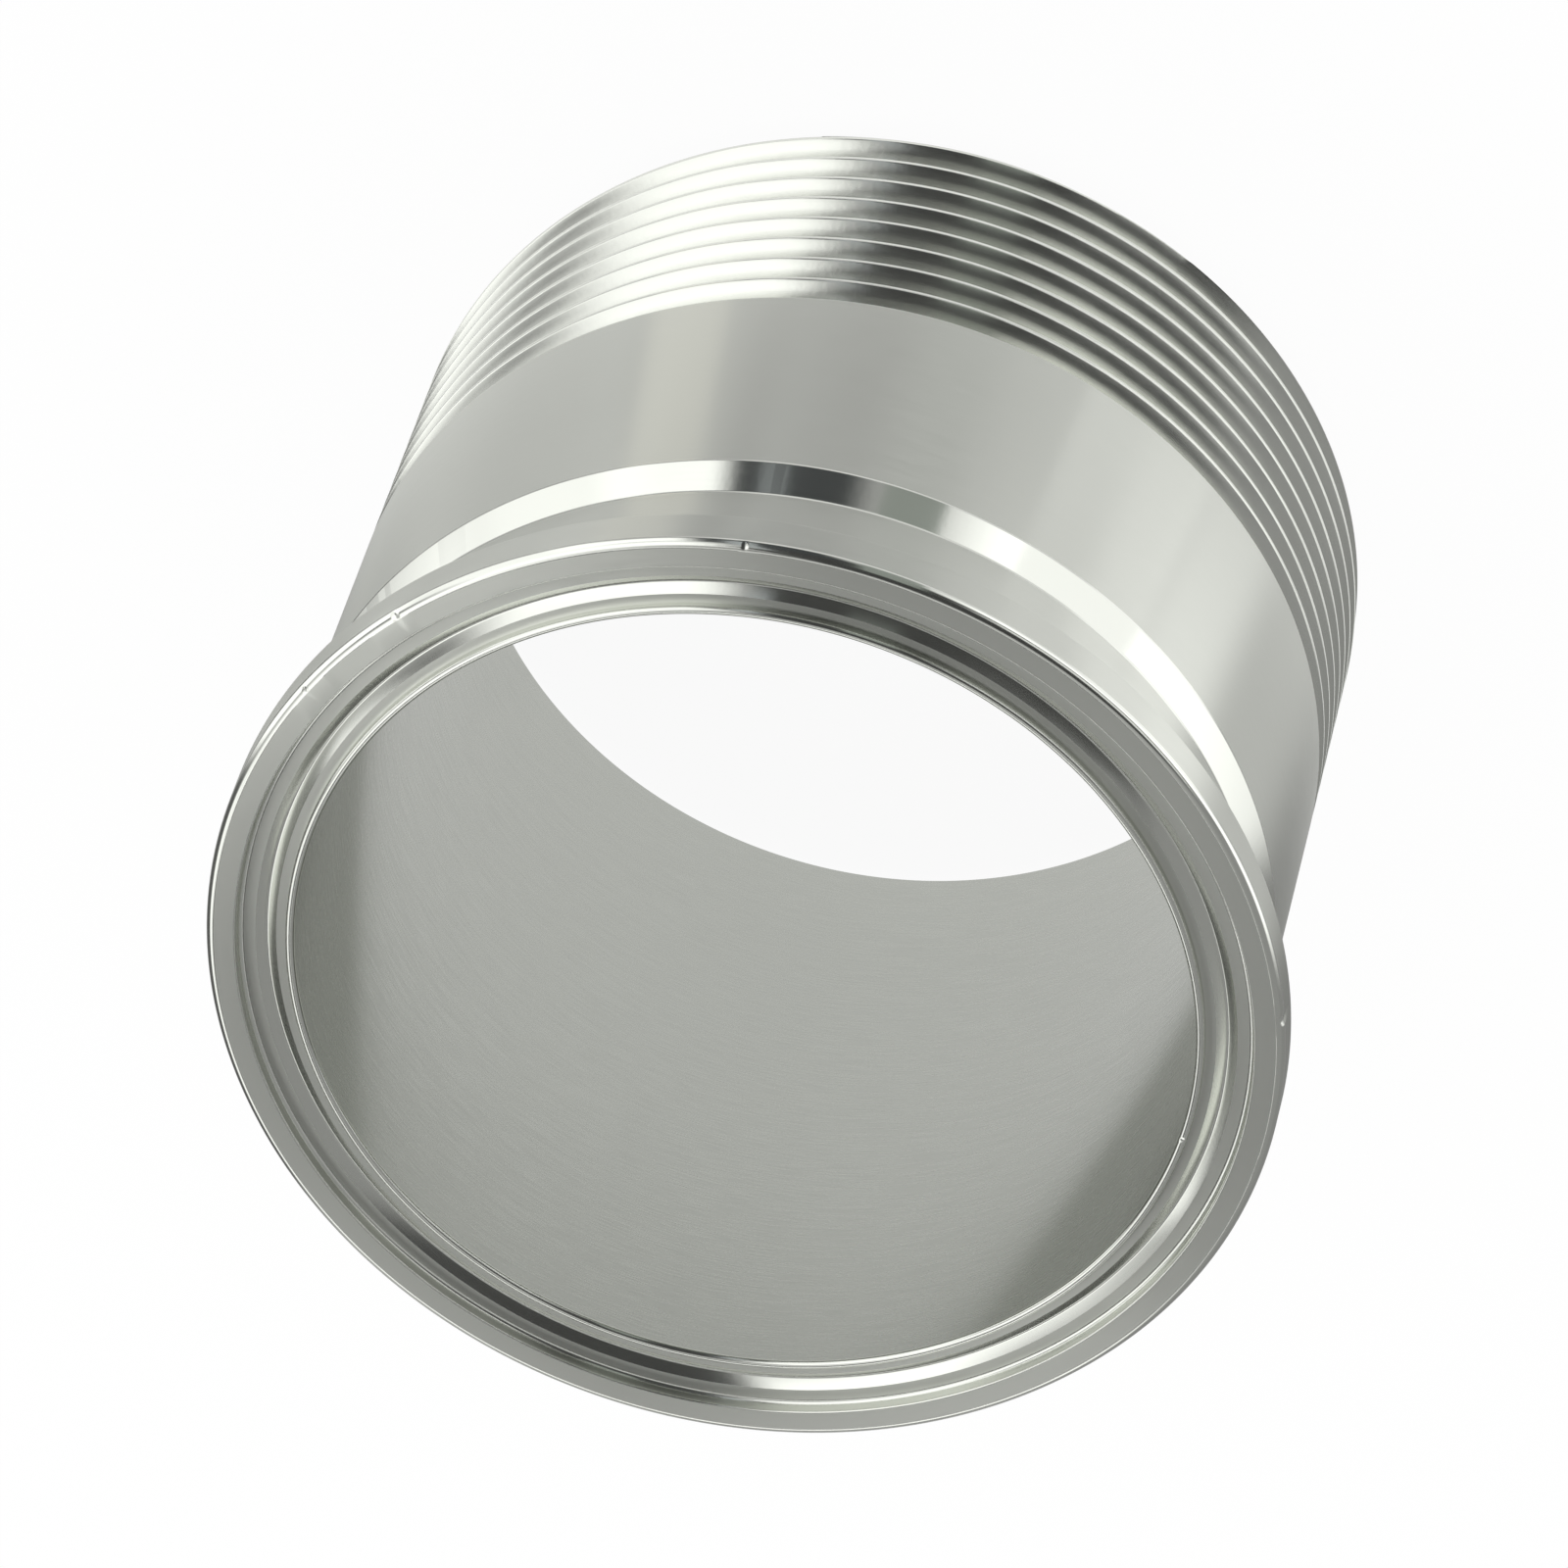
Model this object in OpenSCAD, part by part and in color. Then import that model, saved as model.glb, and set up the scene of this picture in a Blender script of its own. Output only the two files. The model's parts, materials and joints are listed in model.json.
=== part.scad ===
// Threaded adapter for a sanitary clamp joint, turned from one piece of stainless steel.
// It stands on the end of its male pipe thread, with the clamp flange and its sealing face up.
// All sizes are millimetres. Heights are measured up from the thread end at z = 0.

/* [Overall] */
// Length from the thread end to the sealing face
length = 51; // [44:0.5:80]
// Diameter of the straight bore
bore_d = 53.5; // [45:0.1:62]
// Thickness of the wall between the bore and the barrel, which is as wide as the thread's crests
wall_t = 3.05; // [2.7:0.05:4]

/* [Clamp flange] */
// How far the rim of the flange stands out past the barrel
flange_lip = 2.2; // [1.8:0.05:3]
// Thickness of the flange at its rim
rim_t = 2.85; // [2:0.05:3.5]
// Slope of the flange's back face, which the clamp wedges against
bevel_angle = 20; // [15:1:25]
// Radius between the rim and the sealing face
rim_front_r = 0.5; // [0.2:0.05:0.8]
// Radius between the rim and the back face
rim_back_r = 0.2; // [0.1:0.05:0.5]
// Radius in the corner between the back face and the neck
neck_fillet_r = 0.8; // [0.3:0.1:1.2]

/* [Sealing face] */
// Width of the rounded bead around the mouth of the bore
bead_w = 0.55; // [0.4:0.05:0.7]
// How far the top of the bead lies below the land
bead_drop = 0.27; // [0.1:0.01:0.35]
// Width of the ledge between the bead and the gasket groove
ledge_w = 0.6; // [0.4:0.05:0.8]
// Width of the gasket groove
groove_w = 1.25; // [0.9:0.05:1.4]
// Depth of the gasket groove below the gasket seat
groove_depth = 0.48; // [0.2:0.01:0.6]
// Radius at the bottom of the gasket groove, between its two sloped sides
groove_root_r = 0.15; // [0.05:0.05:0.3]
// Width of the gasket seat between the groove and its outer wall
seat_w = 1; // [0.7:0.05:1.2]
// Depth of the gasket seat and of the ledge below the land
seat_depth = 0.8; // [0.6:0.05:1]
// How far the wall of the seat leans in from top to bottom
seat_wall_lean = 0.05; // [0.02:0.01:0.2]
// Radius in the outer corner of the seat
seat_fillet_r = 0.3; // [0.1:0.05:0.35]
// Radius between the wall of the seat and the land
land_edge_r = 0.1; // [0.05:0.05:0.3]

/* [Neck and barrel] */
// How far the neck below the flange is turned in from the barrel
neck_depth = 0.85; // [0.5:0.05:1.2]
// Distance from the sealing face to the end of the neck
neck_end = 9.95; // [8:0.05:11]
// Distance from the sealing face to the foot of the shoulder below the neck
shoulder_end = 12; // [11.5:0.05:14]
// Radius in the corner between the neck and the shoulder
shoulder_fillet_r = 0.5; // [0.2:0.1:1]
// Radius between the shoulder and the barrel
shoulder_edge_r = 0.4; // [0.1:0.1:1]

/* [Thread] */
// Pitch of the right-handed thread
pitch = 2.309; // [1.5:0.001:3]
// Depth of the thread from crest to root
thread_depth = 1.479; // [0.8:0.001:1.5]
// Width of the flat that is left on each crest
crest_flat = 0.3; // [0.2:0.01:0.4]
// Angle between the two flanks of the groove
flank_angle = 55; // [50:1:60]
// Height of the groove's middle where it starts to run out
thread_len = 20.64; // [12:0.01:30]
// Angle over which the groove runs out to the barrel's surface
runout_angle = 90; // [60:5:150]
// Direction in which the run-out starts, anticlockwise from +X
runout_start = 6; // [0:1:360]
// Length of the lead chamfer on the thread end
lead_len = 2.7; // [1:0.1:4]
// How far the thread end is turned in from the crests at the foot of the lead chamfer
lead_depth = 1.7; // [1.5:0.05:2.2]
// Width of the small chamfer on the bore's lower edge
bore_chamfer = 0.2; // [0.1:0.05:0.4]

/* [Hidden] */
steel = [0.76, 0.76, 0.74];
// Fineness of a full turn, of a rounded corner and of the helical groove
$fn = 120;
arc_steps = 5;
groove_steps_per_turn = 60;
// How far the cutter stands out of the surface that it cuts
cut_margin = crest_flat / 2;

bore_r = bore_d / 2;
barrel_r = bore_r + wall_t;
neck_r = barrel_r - neck_depth;
lead_r = barrel_r - lead_depth;
flange_r = barrel_r + flange_lip;
bead_r = bead_w / 2;
bead_out_r = bore_r + bead_w;
groove_in_r = bead_out_r + ledge_w;
groove_out_r = groove_in_r + groove_w;
seat_out_r = groove_out_r + seat_w;
land_in_r = seat_out_r + seat_wall_lean;
seat_z = length - seat_depth;
groove_z = seat_z - groove_depth;
rim_back_z = length - rim_t;
bevel_end_z = rim_back_z - (flange_r - neck_r) * tan(bevel_angle);

// The groove between two crests, with a rounded root that both flanks run into
half_flank = flank_angle / 2;
groove_top_half = (pitch - crest_flat) / 2;
flank_apex_depth = groove_top_half / tan(half_flank);
root_r = (flank_apex_depth - thread_depth) / (1 / sin(half_flank) - 1);
root_centre_r = barrel_r - thread_depth + root_r;
mouth_half = groove_top_half + cut_margin * tan(half_flank);
runout_turns = runout_angle / 360;
thread_turns = (thread_len + cut_margin) / pitch;

function unit(v) = v / norm(v);

// Points of the arc that rounds the corner at b, between the lines to a and to c
function rounded_corner(a, b, c, r) =
    let (to_a = unit(a - b), to_c = unit(c - b))
    let (half_angle = acos(to_a * to_c) / 2)
    let (centre = b + unit(to_a + to_c) * r / sin(half_angle))
    let (from = b + to_a * r / tan(half_angle) - centre, to = b + to_c * r / tan(half_angle) - centre)
    let (start = atan2(from[1], from[0]), turn = atan2(to[1], to[0]) - start)
    let (sweep = turn > 180 ? turn - 360 : turn < -180 ? turn + 360 : turn)
    [for (i = [0 : arc_steps]) centre + r * [cos(start + sweep * i / arc_steps), sin(start + sweep * i / arc_steps)]];

// Outline whose corners are given as [radius from the axis, height, corner radius]
function rounded_outline(corners) =
    let (n = len(corners))
    [for (i = [0 : n - 1])
        let (before = corners[(i + n - 1) % n], at = corners[i], after = corners[(i + 1) % n])
        each at[2] == 0
            ? [[at[0], at[1]]]
            : rounded_corner([before[0], before[1]], [at[0], at[1]], [after[0], after[1]], at[2])];

// Section of the turned blank, from the thread end up the outside and back down the bore
function blank_outline() = rounded_outline([
    [bore_r + bore_chamfer, 0, 0],
    [lead_r, 0, 0],
    [barrel_r, lead_len, 0],
    [barrel_r, length - shoulder_end, shoulder_edge_r],
    [neck_r, length - neck_end, shoulder_fillet_r],
    [neck_r, bevel_end_z, neck_fillet_r],
    [flange_r, rim_back_z, rim_back_r],
    [flange_r, length, rim_front_r],
    [land_in_r, length, land_edge_r],
    [seat_out_r, seat_z, seat_fillet_r],
    [groove_out_r, seat_z, 0],
    [(groove_in_r + groove_out_r) / 2, groove_z, groove_root_r],
    [groove_in_r, seat_z, 0],
    [bead_out_r, seat_z, 0],
    [bead_out_r, length - bead_drop, bead_r],
    [bore_r, length - bead_drop, bead_r],
    [bore_r, bore_chamfer, 0],
]);

// Section of the groove as [radius from the axis, height above its middle], from its upper flank down
function groove_section() = concat(
    [[barrel_r + cut_margin, mouth_half]],
    [for (a = [90 - half_flank : -(90 - half_flank) : half_flank - 90])
        [root_centre_r - root_r * cos(a), root_r * sin(a)]],
    [[barrel_r + cut_margin, -mouth_half]]
);

// The groove as one helical cutter: it leaves through the lead chamfer and lifts out at the barrel
module thread_groove() {
    section = groove_section();
    n = len(section);
    first = floor(-thread_turns * groove_steps_per_turn);
    last = ceil(runout_turns * groove_steps_per_turn);
    lift = thread_depth + cut_margin;
    rings = [for (i = [first : last])
        let (turn = i / groove_steps_per_turn, angle = runout_start + 360 * turn)
        let (out = max(0, turn) / runout_turns * lift)
        [for (p = section) [(p[0] + out) * cos(angle), (p[0] + out) * sin(angle), thread_len + pitch * turn + p[1]]]];
    count = last - first + 1;
    sides = [for (i = [0 : count - 2], j = [0 : n - 1])
        let (k = (j + 1) % n)
        each [[i * n + j, i * n + k, (i + 1) * n + j], [i * n + k, (i + 1) * n + k, (i + 1) * n + j]]];
    start_cap = [for (j = [n - 1 : -1 : 0]) j];
    end_cap = [for (j = [0 : n - 1]) (count - 1) * n + j];
    polyhedron([for (ring = rings) each ring], concat(sides, [start_cap, end_cap]), convexity = 20);
}

module clamp_thread_adapter() {
    color(steel)
        difference() {
            rotate_extrude(convexity = 8) polygon(blank_outline());
            thread_groove();
        }
}

clamp_thread_adapter();
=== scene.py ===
"""Looks of a sanitary clamp threaded adapter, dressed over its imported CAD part.

The adapter is one piece of turned stainless steel. It stands on its thread end, with the clamp flange up.
"""

import json
import math

import bmesh
import bpy
import numpy as np
from mathutils import Matrix, Vector


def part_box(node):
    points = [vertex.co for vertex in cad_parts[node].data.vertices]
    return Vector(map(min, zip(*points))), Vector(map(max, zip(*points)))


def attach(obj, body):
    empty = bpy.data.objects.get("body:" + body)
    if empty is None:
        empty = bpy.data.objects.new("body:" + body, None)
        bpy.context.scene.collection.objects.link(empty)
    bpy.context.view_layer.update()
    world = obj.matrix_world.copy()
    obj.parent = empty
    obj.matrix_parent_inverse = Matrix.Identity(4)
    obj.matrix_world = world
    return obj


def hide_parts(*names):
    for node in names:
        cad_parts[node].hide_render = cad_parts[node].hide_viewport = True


bl_info = {
    "name": "Sanitary clamp threaded adapter",
    "version": (1, 0, 0),
    "blender": (4, 5, 0),
    "location": "3D View > Sidebar > Adapter",
    "description": "Models and finishes a turned clamp ferrule with a male pipe thread",
    "category": "Object",
}

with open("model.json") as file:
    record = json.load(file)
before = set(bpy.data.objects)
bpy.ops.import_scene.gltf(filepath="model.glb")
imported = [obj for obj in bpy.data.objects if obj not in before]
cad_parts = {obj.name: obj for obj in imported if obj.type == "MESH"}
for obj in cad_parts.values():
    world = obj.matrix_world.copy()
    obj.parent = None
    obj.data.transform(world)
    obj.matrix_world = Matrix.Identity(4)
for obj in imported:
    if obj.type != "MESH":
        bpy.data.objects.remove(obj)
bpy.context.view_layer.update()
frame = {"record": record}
NODE = "clamp_thread_adapter"
BODY = "root"
NODE_LOW, NODE_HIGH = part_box(NODE)
MOUNTS = {m["name"]: m for m in frame["record"]["mounts"]}
MM = 0.001
MICRON = 0.000001
BORE_R = MOUNTS["bore"]["dims"]["r_mm"] * MM
BARREL_R = MOUNTS["thread"]["dims"]["r_mm"] * MM
FLANGE_R = (NODE_HIGH.x - NODE_LOW.x) / 2
LENGTH = NODE_HIGH.z - NODE_LOW.z

# Finishes of the steel, in the order of the mesh's materials
SATIN, BORE, BRIGHT, CUT, FACE = range(5)


def distance(name, description, default_mm):
    """A length property, given in millimetres and kept in metres."""
    return bpy.props.FloatProperty(
        name=name,
        description=description,
        default=default_mm * MM,
        min=0,
        unit="LENGTH",
        precision=5,
    )


def degrees(name, description, default):
    """An angle property, given in degrees and kept in radians."""
    return bpy.props.FloatProperty(
        name=name, description=description, default=math.radians(default), subtype="ANGLE"
    )


def colour(name, description, default):
    """A colour property, kept as an sRGB hex value."""
    return bpy.props.StringProperty(name=name, description=description, default=default)


def amount(name, description, default):
    """A plain number property."""
    return bpy.props.FloatProperty(name=name, description=description, default=default, min=0)


class AdapterFlange(bpy.types.PropertyGroup):
    """Sizes of the clamp flange and the neck below it"""

    rim_t: distance("Rim thickness", "Height of the flange's rim", 2.85)
    bevel: degrees("Back face slope", "Slope that the clamp wedges against", 20)
    front_r: distance("Front radius", "Radius between the rim and the land", 0.5)
    back_r: distance("Back radius", "Radius between the rim and the back face", 0.2)
    neck_fillet: distance("Neck fillet", "Radius in the corner above the neck", 0.8)
    neck_depth: distance("Neck depth", "How far the neck is turned in from the barrel", 0.85)
    neck_end: distance("Neck end", "From the sealing face to the end of the neck", 9.95)
    shoulder_end: distance("Shoulder end", "From the sealing face to the barrel", 12.0)
    shoulder_fillet: distance("Shoulder fillet", "Radius between neck and shoulder", 0.5)
    shoulder_edge: distance("Shoulder edge", "Radius between shoulder and barrel", 0.4)


class AdapterFace(bpy.types.PropertyGroup):
    """Sizes of the stepped sealing face, from the bore outwards"""

    bead_w: distance("Bead width", "Width of the rounded bead round the bore", 0.55)
    bead_drop: distance("Bead drop", "From the land down to the top of the bead", 0.27)
    ledge_w: distance("Ledge width", "Width of the ledge between bead and groove", 0.6)
    groove_w: distance("Groove width", "Width of the gasket groove", 1.25)
    groove_depth: distance("Groove depth", "From the seat down to the groove's bottom", 0.48)
    groove_root: distance("Groove root", "Radius at the groove's bottom", 0.15)
    seat_w: distance("Seat width", "Width of the gasket seat", 1.0)
    seat_depth: distance("Seat depth", "From the land down to the seat and the ledge", 0.8)
    wall_lean: distance("Wall lean", "How far the seat's wall leans in", 0.05)
    wall_fillet: distance("Wall fillet", "Radius at the foot of the seat's wall", 0.3)
    edge_r: distance("Land edge", "Radius between the land and the seat's wall", 0.1)


class AdapterThread(bpy.types.PropertyGroup):
    """Sizes of the right-handed male thread"""

    pitch: distance("Pitch", "Distance from crest to crest", 2.309)
    depth: distance("Depth", "From crest to root", 1.479)
    crest: distance("Crest flat", "Width of the flat on each crest", 0.3)
    crest_r: distance("Crest radius", "Radius between a crest's flat and a flank", 0.12)
    flank: degrees("Thread angle", "Angle between the two flanks", 55)
    height: distance("Thread height", "Middle of the groove where it starts to run out", 20.64)
    runout: degrees("Run-out", "Angle over which the groove lifts out", 90)
    start: degrees("Run-out start", "Direction in which the run-out starts", 6)
    margin: distance("Cutter margin", "How far the cutter lifts past the surface", 0.15)
    lead_len: distance("Lead length", "Height of the chamfer on the thread end", 2.7)
    lead_depth: distance("Lead depth", "How far that chamfer is turned in", 1.7)
    bore_chamfer: distance("Bore chamfer", "Chamfer on the bore's lower edge", 0.2)


class AdapterFinish(bpy.types.PropertyGroup):
    """Colours and surface qualities of the steel"""

    satin_hex: colour("Satin steel", "Colour of the satin turned surfaces", "D3D5CE")
    bright_hex: colour("Bright steel", "Colour of the bright turned surfaces", "DFE1DA")
    # A darker grey than the outside's: painted shade for the inside of the bore
    bore_shaded_hex: colour("Bore steel", "Colour of the drawn bore", "B9BBB5")
    satin_rough: amount("Satin roughness", "Roughness of the outside", 0.32)
    bore_rough: amount("Bore roughness", "Roughness of the bore", 0.28)
    face_rough: amount("Face roughness", "Roughness of the steps inside the land", 0.15)
    bright_rough: amount("Bright roughness", "Roughness of the bright surfaces", 0.13)
    cut_rough: amount("Thread roughness", "Roughness of the cut thread", 0.18)
    satin_spread: amount("Satin anisotropy", "How much more the outside spreads along the axis", 0.95)
    bore_spread: amount("Bore anisotropy", "The same for the bore", 0.85)
    face_spread: amount("Face anisotropy", "The same for the steps inside the land", 0.85)
    bright_spread: amount("Bright anisotropy", "The same for the bright surfaces", 0.6)
    cut_spread: amount("Thread anisotropy", "The same for the thread", 0.85)
    # Real turning lines are about 0.03 mm apart, too fine to show, so they are drawn coarser
    line_gap: distance("Turning lines", "Distance between drawn turning lines", 0.12)
    chatter_gap: distance("Chatter", "Distance between chatter marks round the part", 0.45)


class AdapterStudio(bpy.types.PropertyGroup):
    """The floor, the surroundings and the camera"""

    floor_hex: colour("Floor", "Colour of the floor and the surroundings", "FFFFFF")
    floor_half: distance("Floor size", "Half the width of the floor", 3000)
    floor_shade: amount("Floor shadow", "Share of the floor's tone that the shadow can take", 0.07)
    cloth: amount("Cloth", "Level of the plain tent between its panels", 0.49)
    tent_middle: distance("Tent middle", "Height of the point that the panels' directions start from", 30)
    tent_reach: distance("Tent reach", "Radius of the tent on the floor", 300)
    card_start: distance("Cards", "Radius at which the cards on the floor begin", 46)
    card_lift: distance("Card lift", "Height of the cards over the floor", 0.2)
    lens: amount("Lens", "Focal length in mm", 242.14)
    sensor: amount("Sensor", "Width of the sensor in mm", 36)


def linear(hex_value):
    """An sRGB hex colour as linear red, green, blue and alpha."""
    parts = [int(hex_value[i : i + 2], 16) / 255 for i in (0, 2, 4)]
    return [p / 12.92 if p <= 0.04045 else ((p + 0.055) / 1.055) ** 2.4 for p in parts] + [1.0]


def add_node(tree, kind, inputs=None, **settings):
    """Adds a node with its settings; an input is a value or the output socket to link."""
    node = tree.nodes.new(kind)
    for name, value in settings.items():
        setattr(node, name, value)
    for key, value in (inputs or {}).items():
        if isinstance(value, bpy.types.NodeSocket):
            tree.links.new(value, node.inputs[key])
        else:
            node.inputs[key].default_value = value
    return node


def new_material(name):
    """An empty node material and its node tree."""
    material = bpy.data.materials.new(name)
    material.use_nodes = True
    material.node_tree.nodes.clear()
    return material, material.node_tree


def add_object(name, data):
    """A new object in the scene."""
    added = bpy.data.objects.new(name, data)
    bpy.context.scene.collection.objects.link(added)
    return added


# The outline of the turned blank


def unit(v):
    return v / np.linalg.norm(v)


def rounded_corner(before, corner, after, radius, steps=5):
    """Points of the arc that rounds a corner between two straight runs."""
    b = np.array(corner)
    back, on = unit(np.array(before) - b), unit(np.array(after) - b)
    half = math.acos(float(np.clip(back @ on, -1, 1))) / 2
    centre = b + unit(back + on) * radius / math.sin(half)
    first = b + back * radius / math.tan(half) - centre
    last = b + on * radius / math.tan(half) - centre
    start = math.atan2(first[1], first[0])
    sweep = (math.atan2(last[1], last[0]) - start + math.pi) % (2 * math.pi) - math.pi
    angles = start + sweep * np.linspace(0, 1, steps + 1)
    return [tuple(centre + radius * np.array((math.cos(t), math.sin(t)))) for t in angles]


def blank_outline(flange, face, thread, top):
    """Rows (radius, height, finish of the run that follows) from the thread's top round to its foot."""
    neck_r = BARREL_R - flange.neck_depth
    bead_out = BORE_R + face.bead_w
    groove_in = bead_out + face.ledge_w
    groove_out = groove_in + face.groove_w
    seat_out = groove_out + face.seat_w
    land_in = seat_out + face.wall_lean
    seat_z = LENGTH - face.seat_depth
    groove_z = seat_z - face.groove_depth
    bead_z = LENGTH - face.bead_drop
    rim_back = LENGTH - flange.rim_t
    bevel_end = rim_back - (FLANGE_R - neck_r) * math.tan(flange.bevel)
    # Just under half the bead's width, so that a narrow flat stays between its two radii
    bead_r = face.bead_w * 0.499
    corners = [
        # radius, height, corner radius, finish of the corner, finish of the run that follows
        (BARREL_R, top, 0, SATIN, SATIN),
        (BARREL_R, LENGTH - flange.shoulder_end, flange.shoulder_edge, BRIGHT, BRIGHT),
        (neck_r, LENGTH - flange.neck_end, flange.shoulder_fillet, BRIGHT, SATIN),
        (neck_r, bevel_end, flange.neck_fillet, SATIN, SATIN),
        (FLANGE_R, rim_back, flange.back_r, SATIN, SATIN),
        (FLANGE_R, LENGTH, flange.front_r, BRIGHT, SATIN),
        (land_in, LENGTH, face.edge_r, FACE, FACE),
        (seat_out, seat_z, face.wall_fillet, FACE, SATIN),
        (groove_out, seat_z, 0, FACE, FACE),
        ((groove_in + groove_out) / 2, groove_z, face.groove_root, FACE, FACE),
        (groove_in, seat_z, 0, FACE, SATIN),
        (bead_out, seat_z, 0, FACE, FACE),
        (bead_out, bead_z, bead_r, FACE, FACE),
        (BORE_R, bead_z, bead_r, FACE, BORE),
        (BORE_R, thread.bore_chamfer, 0, BRIGHT, BRIGHT),
        (BORE_R + thread.bore_chamfer, 0, 0, SATIN, SATIN),
        (BARREL_R - thread.lead_depth, 0, 0, BRIGHT, BRIGHT),
    ]
    rows = []
    for i, (r, z, radius, arc_finish, run_finish) in enumerate(corners):
        if radius == 0:
            rows.append((r, z, run_finish))
            continue
        arc = rounded_corner(corners[i - 1][:2], (r, z), corners[i + 1][:2], radius)
        rows += [(x, y, arc_finish) for x, y in arc[:-1]]
        rows.append((*arc[-1], run_finish))
    return rows


# The thread, as one height field round the part

# Points across one groove, and which of them are the middles of its lower and upper flank
GROOVE_POINTS = 13
LOWER_FLANK, UPPER_FLANK = 3, 9


def groove_rows(thread, turn):
    """Points (radius, height from the groove's middle) across one groove, at a turn past its full end."""
    half = thread.flank / 2
    tan_half = math.tan(half)
    top_half = (thread.pitch - thread.crest) / 2
    root_r = (top_half / tan_half - thread.depth) / (1 / math.sin(half) - 1)
    lift = max(0.0, turn) / (thread.runout / math.tau) * (thread.depth + thread.margin)
    depth = thread.depth - lift
    if depth <= 0:
        return [(BARREL_R, 0.0)] * GROOVE_POINTS
    flank_end = root_r * (1 - math.sin(half))
    turned = math.pi / 2 - half
    arc = turned
    edge = top_half - lift * tan_half
    if depth < flank_end:
        arc = math.acos(1 - depth / root_r)
        edge = root_r * math.sin(arc)
    root = [
        (BARREL_R - depth + root_r * (1 - math.cos(t)), root_r * math.sin(t))
        for t in np.linspace(-arc, arc, 5)
    ]
    flank_middle = ((root[-1][0] + BARREL_R) / 2, (root[-1][1] + edge) / 2)
    crest_r = min(thread.crest_r, depth / 2)
    crest_z = edge + crest_r * math.tan(turned / 2)
    crest = [
        (BARREL_R - crest_r * (1 - math.cos(t)), crest_z - crest_r * math.sin(t))
        for t in (turned, turned / 2, 0)
    ]
    rise = [flank_middle, *crest]
    return [(r, -z) for r, z in reversed(rise)] + root + rise


def lead_radius(thread, z):
    """Radius of the plain blank at a height in the thread."""
    slope = thread.lead_depth / thread.lead_len
    return min(BARREL_R, BARREL_R - thread.lead_depth + slope * max(z, 0.0))


def flank_cut(thread, centre, side):
    """Where the lead chamfer cuts a flank of the groove at that height, or None."""
    tan_half = math.tan(thread.flank / 2)
    top_half = (thread.pitch - thread.crest) / 2
    slope = thread.lead_depth / thread.lead_len
    foot = BARREL_R - thread.lead_depth
    at_axis = centre + side * (top_half - BARREL_R * tan_half)
    r = (foot + slope * at_axis) / (1 - side * slope * tan_half)
    z = centre + side * (top_half - (BARREL_R - r) * tan_half)
    # Only a cut on the flank itself counts, clear of the rounded root
    deepest = BARREL_R - thread.depth * 0.9
    if deepest < r < BARREL_R and 0 < z < thread.lead_len:
        return r, z
    return None


def thread_column(thread, angle, top, turns):
    """Points (radius, height) from the foot up through the whole thread, at one direction."""
    points = []
    for m in turns:
        turn = (angle - thread.start) / math.tau + m
        centre = thread.height + thread.pitch * turn
        rows = [(r, centre + z) for r, z in groove_rows(thread, turn)]
        for place, side in ((LOWER_FLANK, -1), (UPPER_FLANK, 1)):
            cut = flank_cut(thread, centre, side) if turn < 0 else None
            if cut:
                rows[place] = cut
        points += rows
        points.append((BARREL_R, centre + thread.pitch / 2))
    column = []
    for r, z in points:
        z = min(max(z, 0.0), top)
        column.append((min(r, lead_radius(thread, z)) if z < top else BARREL_R, z))
    return column


def on_barrel(thread, angles, columns):
    """For each face of the thread's grid, whether it is part of the plain barrel above the thread."""
    skin = BARREL_R - 0.1 * MICRON
    plain = []
    for angle, column in zip(angles[:-1], columns[:-1]):
        turn = (angle - thread.start) / math.tau % 1 - 1
        last_groove = thread.height + thread.pitch * turn
        plain += [
            min(low[0], high[0]) > skin and low[1] > last_groove for low, high in zip(column, column[1:])
        ]
    return plain


# The nicks and pits that handling has left


NICKS = [
    # radius mm, height below the land mm, direction in degrees, size mm, depth mm
    (31.75, 0.08, -36.7, 0.30, 0.10),
    (31.75, 0.08, -22.3, 0.22, 0.07),
    (31.85, 0.15, -76.4, 0.20, 0.04),
    (31.95, 0.45, -161.1, 0.50, 0.20),
    (27.00, 0.30, 179.5, 0.22, 0.08),
    (31.10, 0.00, -35.4, 0.22, 0.03),
    (30.80, 0.00, -33.8, 0.18, 0.03),
    (31.20, 0.00, -24.5, 0.16, 0.03),
    (31.00, 0.00, -21.0, 0.16, 0.02),
]


# Degrees between the mesh's columns, and how many more cross a nick, over how many times its size
COLUMN_STEP = 1.2
NICK_COLUMNS = 9
NICK_SPREAD = 1.6
# Columns closer than this many radians would leave slivers
CLOSEST_COLUMNS = 0.0009
# A nick also bends the shading of the faces round it, out to this many times its size
NICK_SHADING = 1.5


def nick_centre(radius, drop, direction):
    """The middle of a nick on the surface, in metres."""
    angle = math.radians(direction)
    centre = np.array((radius * math.cos(angle), radius * math.sin(angle), 0)) * MM
    centre[2] = LENGTH - drop * MM
    return centre


def column_angles():
    """Directions of the mesh's columns: even steps, and closer ones through each nick."""
    even = np.radians(np.arange(0, 360, COLUMN_STEP))
    fine = [
        math.radians(direction) + np.linspace(-1, 1, NICK_COLUMNS) * size / radius * NICK_SPREAD
        for radius, _, direction, size, _ in NICKS
    ]
    angles = np.unique(np.round(np.concatenate([even, *fine]) % math.tau, 6))
    keep = np.concatenate([[True], np.diff(angles) > CLOSEST_COLUMNS])
    return list(angles[keep]) + [math.tau]


def press_nicks(points):
    """Pushes the surface in where it was nicked, towards the part's middle."""
    for radius, drop, direction, size, depth in NICKS:
        centre = nick_centre(radius, drop, direction)
        reach = np.linalg.norm(points - centre, axis=1) / (size * MM)
        push = depth * MM * np.clip(1 - reach**2, 0, 1) ** 2
        inwards = -centre / np.linalg.norm(centre[:2])
        inwards[2] = -1
        points += push[:, None] * unit(inwards)


# The mesh

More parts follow.
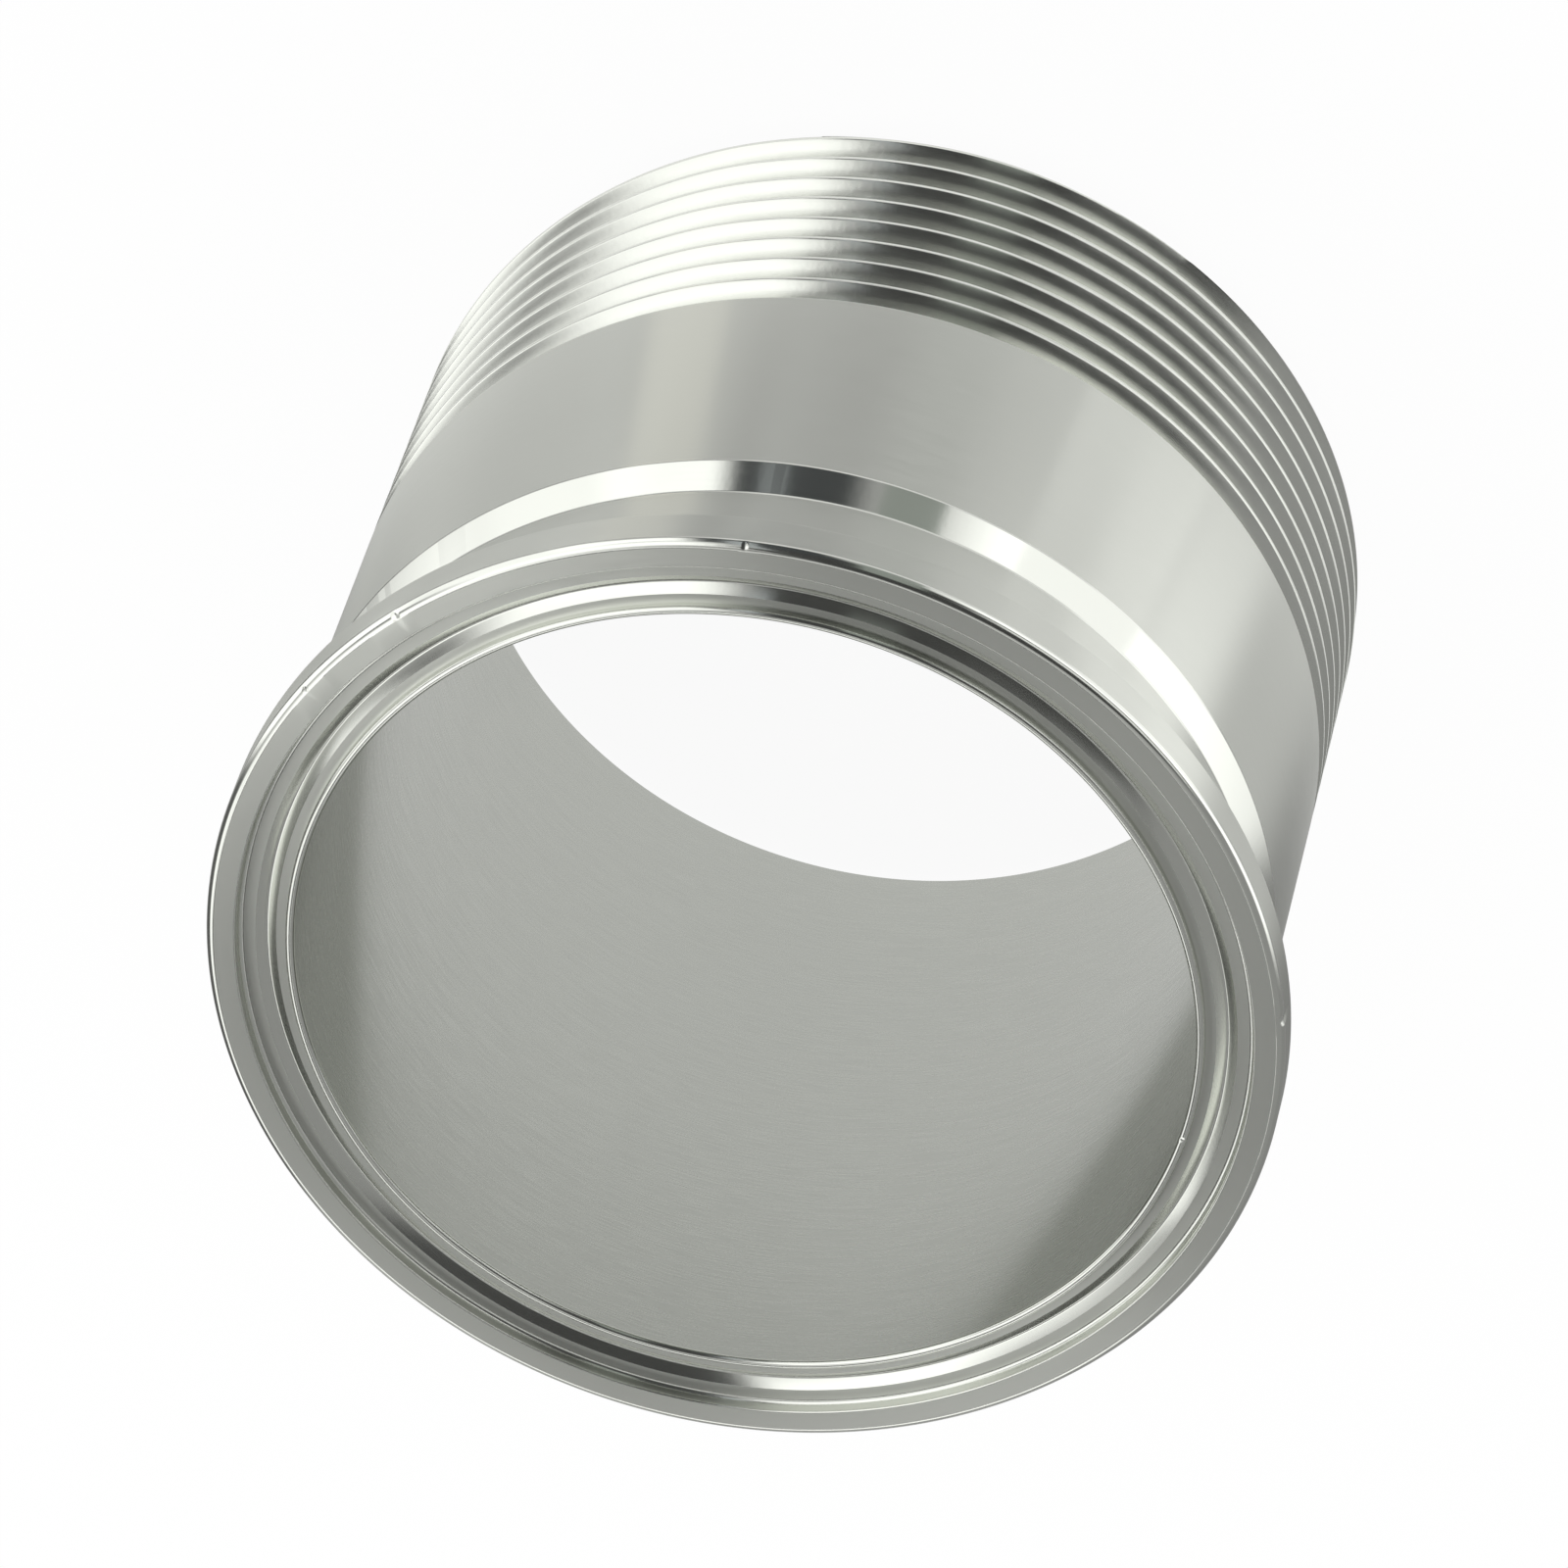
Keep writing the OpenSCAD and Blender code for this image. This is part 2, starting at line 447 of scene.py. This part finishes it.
# Edges that turn by more than this stay crisp, which leaves the rounded crests of the thread smooth
SHARP = math.radians(34)


def round_points(angles, section):
    """A section's points (radius, height) turned to each of the directions."""
    return [(r * math.cos(t), r * math.sin(t), z) for t in angles for r, z in section]


def grid_faces(rows, columns, first):
    """Quads that join a grid of points, stored column by column."""
    starts = [first + c * rows + r for c in range(columns - 1) for r in range(rows - 1)]
    return [(a, a + rows, a + rows + 1, a + 1) for a in starts]


def turn_normals(mesh, thread, top):
    """Gives each corner the normal of the true turned or helical surface, except in the nicks."""
    normals = np.array([corner.vector for corner in mesh.corner_normals])
    places = np.array([vertex.co for vertex in mesh.vertices])
    at = places[[loop.vertex_index for loop in mesh.loops]]
    radius = np.hypot(at[:, 0], at[:, 1])
    around = np.stack([-at[:, 1], at[:, 0], 0 * radius], axis=1) / radius[:, None]
    # A little less than the root's radius, so that the root counts as thread
    root = BARREL_R - thread.depth - 10 * MICRON
    helical = (at[:, 2] < top) & (at[:, 2] > 0) & (radius > root)
    lead = -normals[:, 2] * thread.pitch / (math.tau * radius) * helical
    turned = normals + (lead - (normals * around).sum(axis=1))[:, None] * around
    for nick_radius, drop, direction, size, _ in NICKS:
        from_nick = np.linalg.norm(at - nick_centre(nick_radius, drop, direction), axis=1)
        nicked = from_nick < size * MM * NICK_SHADING
        turned[nicked] = normals[nicked]
    turned /= np.linalg.norm(turned, axis=1)[:, None]
    mesh.normals_split_custom_set(turned.tolist())


def make_adapter(flange, face, thread):
    """The whole turned piece as one closed mesh."""
    # The thread's grid ends on the plain barrel, a little over one pitch above its last full groove
    top = thread.height + thread.pitch * 1.1
    outline = blank_outline(flange, face, thread, top)
    angles = column_angles()
    # From a turn that lies wholly below the foot up to the run-out
    lowest = math.floor(-(thread.height + thread.pitch) / thread.pitch) - 1
    turns = range(lowest, 2)
    columns = [thread_column(thread, t, top, turns) for t in angles]
    points = []
    for angle, column in zip(angles, columns):
        points += round_points([angle], column)
    faces = grid_faces(len(columns[0]), len(angles), 0)
    finishes = [SATIN if plain else CUT for plain in on_barrel(thread, angles, columns)]
    faces += grid_faces(len(outline), len(angles), len(points))
    finishes += [finish for _, _, finish in outline[:-1]] * (len(angles) - 1)
    points += round_points(angles, [(r, z) for r, z, _ in outline])
    points = np.array(points)
    press_nicks(points)
    mesh = bpy.data.meshes.new("adapter")
    mesh.from_pydata(points.tolist(), [], faces)
    mesh.polygons.foreach_set("material_index", finishes)
    tidy = bmesh.new()
    tidy.from_mesh(mesh)
    bmesh.ops.remove_doubles(tidy, verts=tidy.verts, dist=MICRON)
    bmesh.ops.dissolve_degenerate(tidy, edges=tidy.edges, dist=MICRON)
    bmesh.ops.recalc_face_normals(tidy, faces=tidy.faces)
    tidy.to_mesh(mesh)
    tidy.free()
    mesh.shade_smooth()
    mesh.set_sharp_from_angle(angle=SHARP)
    piece = add_object("adapter", mesh)
    even = piece.modifiers.new("even shading", "WEIGHTED_NORMAL")
    even.keep_sharp = True
    even.weight = 100
    shaded = piece.evaluated_get(bpy.context.evaluated_depsgraph_get())
    piece.data = bpy.data.meshes.new_from_object(shaded)
    piece.modifiers.clear()
    turn_normals(piece.data, thread, top)
    return piece


# Materials


def turned_bumps(tree, line_gap, line_depth, chatter_gap, chatter_depth):
    """Fine lines round the part and chatter marks across them, as a normal, and the lines' own height."""
    coords = add_node(tree, "ShaderNodeTexCoord").outputs["Object"]
    xyz = add_node(tree, "ShaderNodeSeparateXYZ", {0: coords})
    radius = add_node(tree, "ShaderNodeVectorMath", {0: coords, 1: (1, 1, 0)}, operation="MULTIPLY")
    radius = add_node(tree, "ShaderNodeVectorMath", {0: radius.outputs[0]}, operation="LENGTH")
    radius = radius.outputs["Value"]
    across = add_node(tree, "ShaderNodeMath", {0: xyz.outputs[2], 1: radius}, operation="ADD")
    # A turning line is 20 times as long as it is wide, and a chatter mark 10 times, along the axis
    long_scale, line_scale = 0.05 / line_gap, 1 / line_gap
    flat = add_node(
        tree, "ShaderNodeVectorMath", {0: coords, 1: (long_scale, long_scale, 0)}, operation="MULTIPLY"
    )
    tall = add_node(tree, "ShaderNodeMath", {0: across.outputs[0], 1: line_scale}, operation="MULTIPLY")
    tall = add_node(tree, "ShaderNodeCombineXYZ", {2: tall.outputs[0]})
    place = add_node(tree, "ShaderNodeVectorMath", {0: flat.outputs[0], 1: tall.outputs[0]}, operation="ADD")
    lines = add_node(tree, "ShaderNodeTexNoise", {"Vector": place.outputs[0], "Scale": 1, "Detail": 2})
    chatter_place = add_node(
        tree,
        "ShaderNodeVectorMath",
        {0: coords, 1: (1 / chatter_gap, 1 / chatter_gap, 0.1 / chatter_gap)},
        operation="MULTIPLY",
    )
    chatter = add_node(
        tree, "ShaderNodeTexNoise", {"Vector": chatter_place.outputs[0], "Scale": 1, "Detail": 1}
    )
    first = add_node(
        tree, "ShaderNodeBump", {"Strength": 1, "Distance": line_depth, "Height": lines.outputs["Fac"]}
    )
    second = add_node(
        tree,
        "ShaderNodeBump",
        {
            "Strength": 1,
            "Distance": chatter_depth,
            "Height": chatter.outputs["Fac"],
            "Normal": first.outputs["Normal"],
        },
    )
    return second.outputs["Normal"], lines.outputs["Fac"]


def steel(name, hex_value, roughness, spread, line_gap, line_depth, chatter_gap, chatter_depth):
    """Turned stainless steel: the cutter's lines run round the part, so highlights smear along its axis."""
    material, tree = new_material(name)
    normal, lines = turned_bumps(tree, line_gap, line_depth, chatter_gap, chatter_depth)
    # The lines also vary the roughness by 7 percent each way; most of their noise lies from 0.3 to 0.7
    low, high = roughness * 0.93, roughness * 1.07
    rough = add_node(
        tree,
        "ShaderNodeMapRange",
        {"Value": lines, "From Min": 0.3, "From Max": 0.7, "To Min": low, "To Max": high},
    )
    round_part = add_node(tree, "ShaderNodeTangent", direction_type="RADIAL", axis="Z")
    surface = add_node(
        tree,
        "ShaderNodeBsdfPrincipled",
        {
            "Base Color": linear(hex_value),
            "Metallic": 1.0,
            "Roughness": rough.outputs[0],
            "Anisotropic": spread,
            "Normal": normal,
            "Tangent": round_part.outputs[0],
            # A quarter turn, so that the smear runs across the lines
            "Anisotropic Rotation": 0.25,
        },
    )
    add_node(tree, "ShaderNodeOutputMaterial", {"Surface": surface.outputs[0]})
    return material


def satin_steel(finish):
    """Stainless steel, fine turned and dulled to satin: an even grey with soft streaks along the axis."""
    return steel(
        "stainless_steel_satin",
        finish.satin_hex,
        finish.satin_rough,
        finish.satin_spread,
        finish.line_gap,
        0.3 * MICRON,
        finish.chatter_gap * 2,
        0.4 * MICRON,
    )


def bore_steel(finish):
    """Drawn stainless steel tube: satin too, with a finer surface than the outside; its darker grey is
    painted shade for the inside of the bore.
    """
    return steel(
        "stainless_steel_bore",
        # The darker grey paints the shade inside the bore
        finish.bore_shaded_hex,
        finish.bore_rough,
        finish.bore_spread,
        finish.line_gap,
        0.1 * MICRON,
        finish.chatter_gap * 2,
        0.1 * MICRON,
    )


def cut_steel(finish):
    """Stainless steel cut by a threading tool: bright, with more chatter than a finishing cut leaves."""
    return steel(
        "stainless_steel_thread",
        finish.bright_hex,
        finish.cut_rough,
        finish.cut_spread,
        finish.line_gap,
        0.4 * MICRON,
        finish.chatter_gap,
        2 * MICRON,
    )


def bright_steel(finish):
    """Stainless steel, finish turned with a sharp tool: near mirror bright, with faint chatter."""
    return steel(
        "stainless_steel_bright",
        finish.bright_hex,
        finish.bright_rough,
        finish.bright_spread,
        finish.line_gap,
        0.4 * MICRON,
        finish.chatter_gap,
        1.2 * MICRON,
    )


def face_steel(finish):
    """Stainless steel, form turned: between satin and bright, so the steps of the face grade softly."""
    return steel(
        "stainless_steel_face",
        finish.bright_hex,
        finish.face_rough,
        finish.face_spread,
        finish.line_gap,
        0.3 * MICRON,
        finish.chatter_gap,
        0.8 * MICRON,
    )


# The studio

# Rings of the cards and of the dome, and steps round both
CARD_RINGS = 16
DOME_RINGS = 30
TENT_STEPS = 72

# What the steel reflects: one soft-edged panel of the tent a row, each laid over the rows before it. They
# come from a fit to the tones that the steel shows in the photograph. Directions are in degrees from the
# tent's middle: azimuth from the camera's side of the part towards its +X side, elevation up.
PANELS = [
    # name, azimuth, half width, elevation, half height, side softness, top softness, level, tint
    ("ceiling", -81.7, 100.9, 33.3, 31.9, 16.8, 22.7, 0.32, "FFFFFF"),
    ("front of the ceiling", 12.9, 82.3, 44.5, 47, 15.1, 13.6, 0.06, "FFFFFF"),
    ("tall left panel", 52.4, 25, 15.1, 39.6, 16.5, 5.7, 1.30, "FFFFFF"),
    ("low wall round the left", 119.9, 85.3, 57.7, 13.5, 12.9, 29.1, 1.57, "FFFFFF"),
    ("low right panel", -57.8, 46.4, -1.8, 12.7, 29.5, 14.9, 1.67, "FFFFFF"),
    ("dark gap", 24.9, 18.5, 5, 21.1, 7, 8.2, 0.07, "F4FAFF"),
    ("right panel, near edge", -35.6, 12.5, -19, 15, 2.1, 2.3, 1.22, "FFFFFF"),
    ("window in the gap", -2.9, 5.6, 14.4, 32.7, 1.2, 9.5, 0.33, "F7FFF8"),
    ("half light beside the gap", 22, 2.4, 21.8, 28.6, 1.1, 9.3, 0.52, "F4FAFF"),
    ("right panel, top", -42.3, 22.7, 29.4, 7.2, 15.9, 13.6, 1.12, "FFFFFF"),
    ("right kicker", -56.4, 9.4, -23.7, 6.8, 10.7, 4.4, 1.48, "FFFFFF"),
    ("front kicker", 26.6, 22.6, -31.1, 6.3, 10.4, 11.5, 0.24, "FFF7FA"),
    ("left floor gap", 82.3, 32.1, -22.3, 6.2, 13.2, 3.6, 0.10, "FFFFFF"),
    ("left kicker", 93.5, 17.8, 4.7, 20.6, 12.1, 13.7, 1.54, "FFFFFF"),
    ("front floor gap", 60.2, 31.6, -23.4, 7.1, 16, 4, 0.50, "FFFFFF"),
    ("rear shade", -121.9, 30.4, -8.2, 26.8, 15.3, 4.9, 0.29, "FFFFFF"),
    ("rear post", 177.1, 23.8, 48.1, 21.9, 8.4, 9, 0.10, "FFFFFF"),
    ("rear panel", 164.9, 43, 34.9, 7.9, 7.7, 12.4, 1.45, "FFFFFF"),
    ("left seam", 53.4, 3, -22.4, 7.5, 3, 9.2, 0.56, "FFFFFF"),
    ("front seam", -4.8, 30.9, -21.4, 7.1, 7.7, 3.9, 0.84, "FFFFFF"),
    ("streak", 41.1, 6.3, -29.5, 5.6, 2.7, 3.9, 0.90, "FFFBF2"),
    ("left panel, far strip", 136.2, 23.4, 3.6, 19.7, 8.9, 10.2, 0.12, "FFFFFF"),
    ("front of the left panel", 41.1, 10.9, 5.7, 17.8, 5.8, 7.6, 1.43, "FFFFFF"),
]


def soft_band(tree, distance_from_middle, half, soft):
    """A mask that is 1 within half of a middle and falls to 0 over a soft edge."""
    return add_node(
        tree,
        "ShaderNodeMapRange",
        {"Value": distance_from_middle, "From Min": half + soft / 2, "From Max": half - soft / 2},
        interpolation_type="SMOOTHSTEP",
    ).outputs[0]


def panel_mask(tree, azimuth, elevation, middle_az, half_az, middle_el, half_el, soft_az, soft_el):
    """A mask that is 1 on a panel, with soft edges; azimuth runs on past the back."""
    turn = add_node(tree, "ShaderNodeMath", {0: azimuth, 1: middle_az}, operation="SUBTRACT")
    turn = add_node(tree, "ShaderNodeMath", {0: turn.outputs[0], 1: 180, 2: -180}, operation="WRAP")
    turn = add_node(tree, "ShaderNodeMath", {0: turn.outputs[0]}, operation="ABSOLUTE")
    rise = add_node(tree, "ShaderNodeMath", {0: elevation, 1: middle_el}, operation="SUBTRACT")
    rise = add_node(tree, "ShaderNodeMath", {0: rise.outputs[0]}, operation="ABSOLUTE")
    across = soft_band(tree, turn.outputs[0], half_az, soft_az)
    up = soft_band(tree, rise.outputs[0], half_el, soft_el)
    return add_node(tree, "ShaderNodeMath", {0: across, 1: up}, operation="MULTIPLY").outputs[0]


def lit_cloth(studio):
    """White cloth lit from behind: an even glow, brighter and darker where the panels are."""
    material, tree = new_material("lit_cloth")
    way = add_node(tree, "ShaderNodeTexCoord").outputs["Object"]
    way = add_node(tree, "ShaderNodeVectorMath", {0: way}, operation="NORMALIZE").outputs[0]
    xyz = add_node(tree, "ShaderNodeSeparateXYZ", {0: way})
    back = add_node(tree, "ShaderNodeMath", {0: xyz.outputs[1], 1: -1}, operation="MULTIPLY")
    azimuth = add_node(tree, "ShaderNodeMath", {0: xyz.outputs[0], 1: back.outputs[0]}, operation="ARCTAN2")
    azimuth = add_node(tree, "ShaderNodeMath", {0: azimuth.outputs[0]}, operation="DEGREES").outputs[0]
    elevation = add_node(tree, "ShaderNodeMath", {0: xyz.outputs[2]}, operation="ARCSINE")
    elevation = add_node(tree, "ShaderNodeMath", {0: elevation.outputs[0]}, operation="DEGREES").outputs[0]
    light = add_node(tree, "ShaderNodeRGB")
    light.outputs[0].default_value = (studio.cloth, studio.cloth, studio.cloth, 1)
    light = light.outputs[0]
    for _, *window, level, tint in PANELS:
        mask = panel_mask(tree, azimuth, elevation, *window)
        panel = [level * part for part in linear(tint)[:3]] + [1]
        mix = add_node(tree, "ShaderNodeMix", {"Factor": mask, 6: light, 7: panel}, data_type="RGBA")
        light = mix.outputs[2]
    glow = add_node(tree, "ShaderNodeEmission", {"Color": light, "Strength": 1.0})
    add_node(tree, "ShaderNodeOutputMaterial", {"Surface": glow.outputs[0]})
    # Only the steel's own reflections meet the cloth, so it needs no sampling as a lamp
    material.cycles.emission_sampling = "NONE"
    return material


def make_tent(studio):
    """The tent round the part, which only the steel sees: cards low over the floor, and a dome over all."""
    card_z = studio.card_lift - studio.tent_middle
    reach = studio.tent_reach
    cards = [(r, card_z) for r in np.geomspace(studio.card_start, reach, CARD_RINGS)]
    foot = math.atan2(card_z, reach)
    dome_r = math.hypot(reach, card_z)
    rises = np.linspace(foot, math.pi / 2, DOME_RINGS)[1:]
    rings = cards + [(dome_r * math.cos(t), dome_r * math.sin(t)) for t in rises]
    angles = np.linspace(0, math.tau, TENT_STEPS + 1)
    mesh = bpy.data.meshes.new("tent")
    mesh.from_pydata(round_points(angles, rings), [], grid_faces(len(rings), len(angles), 0))
    mesh.materials.append(lit_cloth(studio))
    tent = add_object("tent", mesh)
    tent.location = (0, 0, studio.tent_middle)
    tent.visible_camera = False
    tent.visible_diffuse = False


def make_world(studio):
    """Plain white surroundings, which light the floor."""
    world = bpy.data.worlds.new("white surroundings")
    world.use_nodes = True
    tree = world.node_tree
    tree.nodes.clear()
    white = add_node(tree, "ShaderNodeBackground", {"Color": linear(studio.floor_hex), "Strength": 1.0})
    add_node(tree, "ShaderNodeOutputWorld", {"Surface": white.outputs[0]})
    bpy.context.scene.world = world


def white_paper(studio):
    """Matt white paper: the camera and the steel see it white, less a share that the part's shadow takes."""
    material, tree = new_material("white_paper")
    paper = add_node(tree, "ShaderNodeBsdfDiffuse", {"Color": linear(studio.floor_hex)})
    glow = add_node(tree, "ShaderNodeEmission", {"Color": linear(studio.floor_hex), "Strength": 1.0})
    rays = add_node(tree, "ShaderNodeLightPath").outputs
    seen = rays["Is Camera Ray"]
    for ray in ("Is Glossy Ray", "Is Transmission Ray"):
        seen = add_node(tree, "ShaderNodeMath", {0: seen, 1: rays[ray]}, operation="ADD").outputs[0]
    share = add_node(
        tree,
        "ShaderNodeMath",
        {0: seen, 1: 1 - studio.floor_shade},
        operation="MULTIPLY",
        use_clamp=True,
    )
    layers = {0: share.outputs[0], 1: paper.outputs[0], 2: glow.outputs[0]}
    mix = add_node(tree, "ShaderNodeMixShader", layers)
    add_node(tree, "ShaderNodeOutputMaterial", {"Surface": mix.outputs[0]})
    return material


def make_floor(studio):
    """The white floor that the part stands on."""
    half = studio.floor_half
    mesh = bpy.data.meshes.new("floor")
    corners = [(-half, -half, 0), (half, -half, 0), (half, half, 0), (-half, half, 0)]
    mesh.from_pydata(corners, [], [(0, 1, 2, 3)])
    mesh.materials.append(white_paper(studio))
    add_object("floor", mesh)


def make_camera(studio):
    """The camera as fitted to the photograph: over the flange, with the thread end up in the picture."""
    data = bpy.data.cameras.new("camera")
    data.sensor_width = studio.sensor
    data.lens = studio.lens
    camera = add_object("camera", data)
    right = Vector((-0.95407105, -0.24041257, -0.17874625))
    up = Vector((0.29957195, -0.77010244, -0.56320412))
    forward = Vector((0.00225158, 0.59088411, -0.80675331))
    turn = Matrix((right, up, -forward)).transposed().to_4x4()
    place = Vector((0, -0.373784, 0.539594))
    camera.matrix_world = Matrix.Translation(place) @ turn
    bpy.context.scene.camera = camera


class ADAPTER_OT_body(bpy.types.Operator):
    """Model the turned adapter with its thread, and finish it in steel"""

    bl_idname = "adapter.body"
    bl_label = "Turned adapter"

    def execute(self, context):
        scene = context.scene
        piece = make_adapter(scene.adapter_flange, scene.adapter_face, scene.adapter_thread)
        for make in (satin_steel, bore_steel, bright_steel, cut_steel, face_steel):
            piece.data.materials.append(make(scene.adapter_finish))
        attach(piece, BODY)
        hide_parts(NODE)
        return {"FINISHED"}


class ADAPTER_OT_stage(bpy.types.Operator):
    """Set the floor, the soft surroundings and the camera"""

    bl_idname = "adapter.stage"
    bl_label = "Stage"

    def execute(self, context):
        studio = context.scene.adapter_studio
        make_world(studio)
        make_floor(studio)
        make_tent(studio)
        make_camera(studio)
        context.scene.view_settings.view_transform = "Standard"
        return {"FINISHED"}


class ADAPTER_PT_panel(bpy.types.Panel):
    """Lists the steps that make the adapter"""

    bl_label = "Adapter"
    bl_idname = "ADAPTER_PT_panel"
    bl_space_type = "VIEW_3D"
    bl_region_type = "UI"
    bl_category = "Adapter"

    def draw(self, context):
        for step in STEPS:
            self.layout.operator(step.bl_idname, text=step.bl_label)
        for group in GROUPS:
            box = self.layout.box()
            box.label(text=group)
            settings = getattr(context.scene, group)
            for name in settings.bl_rna.properties.keys():
                if name not in ("rna_type", "name"):
                    box.prop(settings, name)


STEPS = [ADAPTER_OT_body, ADAPTER_OT_stage]
GROUPS = {
    "adapter_flange": AdapterFlange,
    "adapter_face": AdapterFace,
    "adapter_thread": AdapterThread,
    "adapter_finish": AdapterFinish,
    "adapter_studio": AdapterStudio,
}


def register():
    for kind in [*GROUPS.values(), *STEPS, ADAPTER_PT_panel]:
        bpy.utils.register_class(kind)
    for name, kind in GROUPS.items():
        setattr(bpy.types.Scene, name, bpy.props.PointerProperty(type=kind))


def unregister():
    for name in GROUPS:
        delattr(bpy.types.Scene, name)
    for kind in reversed([*GROUPS.values(), *STEPS, ADAPTER_PT_panel]):
        bpy.utils.unregister_class(kind)


def main():
    register()
    bpy.ops.adapter.body()
    bpy.ops.adapter.stage()


if __name__ == "__main__":
    main()
